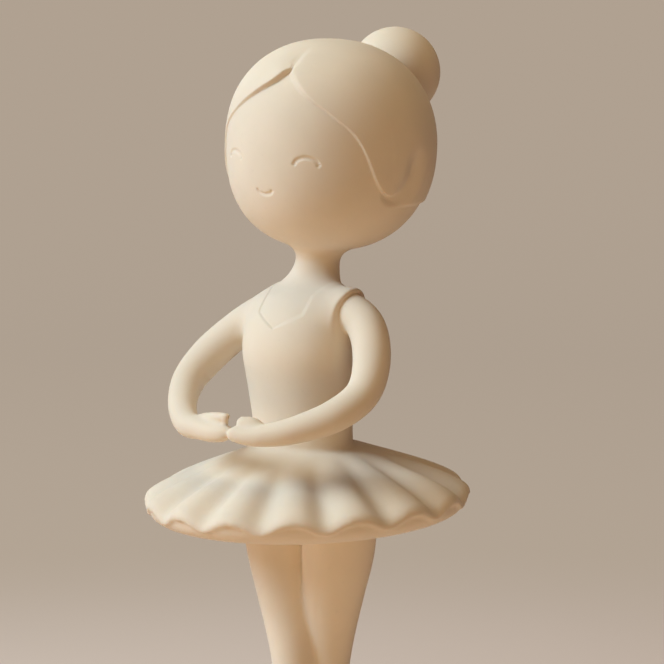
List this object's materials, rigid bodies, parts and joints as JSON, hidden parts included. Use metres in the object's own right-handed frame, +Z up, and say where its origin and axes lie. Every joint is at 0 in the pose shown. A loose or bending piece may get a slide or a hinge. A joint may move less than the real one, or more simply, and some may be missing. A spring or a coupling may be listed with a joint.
{
  "type": "ballerina figurine",
  "caption": "Stylised ballerina statuette with a hair bun, low rounded arms and a fluted tutu, standing on a low round base as a shelf ornament.",
  "frame": {"origin": "centre of the base's flat underside", "axes": "+Z up, the figure faces -Y, its left hand is at +X"},
  "size_m": [0.081, 0.0835, 0.2141],
  "materials": {
    "figure_clay": "matte warm cream cast resin, unpainted",
    "base_clay": "matte warm cream cast resin, unpainted"
  },
  "bodies": {
    "root": {"ballerina": "figure_clay", "base": "base_clay"}
  },
  "joints": []
}
